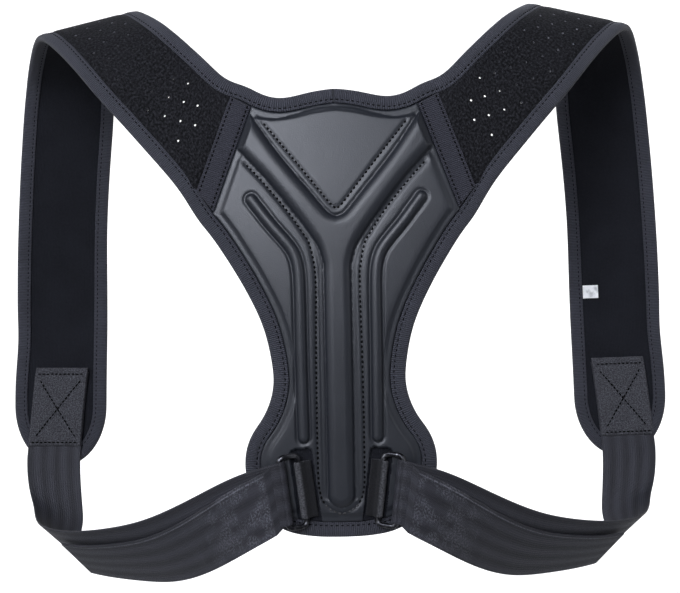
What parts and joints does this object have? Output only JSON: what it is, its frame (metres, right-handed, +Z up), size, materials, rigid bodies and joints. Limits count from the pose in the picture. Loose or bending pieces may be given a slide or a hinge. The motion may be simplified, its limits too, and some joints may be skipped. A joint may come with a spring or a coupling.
{
  "type": "posture corrector",
  "caption": "Posture corrector in its worn form: a moulded back panel, padded shoulder straps that arch to the front, and webbing that runs under the arms to wire rings on the panel.",
  "frame": {"origin": "middle of the back panel's skin side, where it lies on the wearer's back", "axes": "+Z up, +Y the way the wearer faces, +X to the wearer's right, which is the right of a view from behind"},
  "size_m": [0.47, 0.1805, 0.381],
  "materials": {
    "lining_cloth": "matt knitted lining, near black",
    "loop_cloth": "matt brushed loop cloth, near black",
    "moulded_skin": "satin moulded skin over foam, charcoal",
    "binding_tape": "ribbed woven tape, charcoal",
    "nylon_webbing": "satin woven webbing, charcoal",
    "patch_cloth": "brushed grey cloth",
    "black_wire": "black plated steel wire",
    "tab_cloth": "woven tab tape, mid grey",
    "white_label": "blank white satin label"
  },
  "bodies": {
    "root": {"backing": "lining_cloth", "moulded_cover": "moulded_skin", "shoulder_strap_right": "loop_cloth", "shoulder_strap_left": "loop_cloth", "edge_binding": "binding_tape", "seam_tape_right": "binding_tape", "seam_tape_left": "binding_tape", "anchor_patch_right": "patch_cloth", "anchor_patch_left": "patch_cloth", "side_webbing_right": "nylon_webbing", "side_webbing_left": "nylon_webbing", "ring_right": "black_wire", "ring_left": "black_wire", "ring_tab_right": "tab_cloth", "ring_tab_left": "tab_cloth", "care_label": "white_label"}
  },
  "joints": []
}
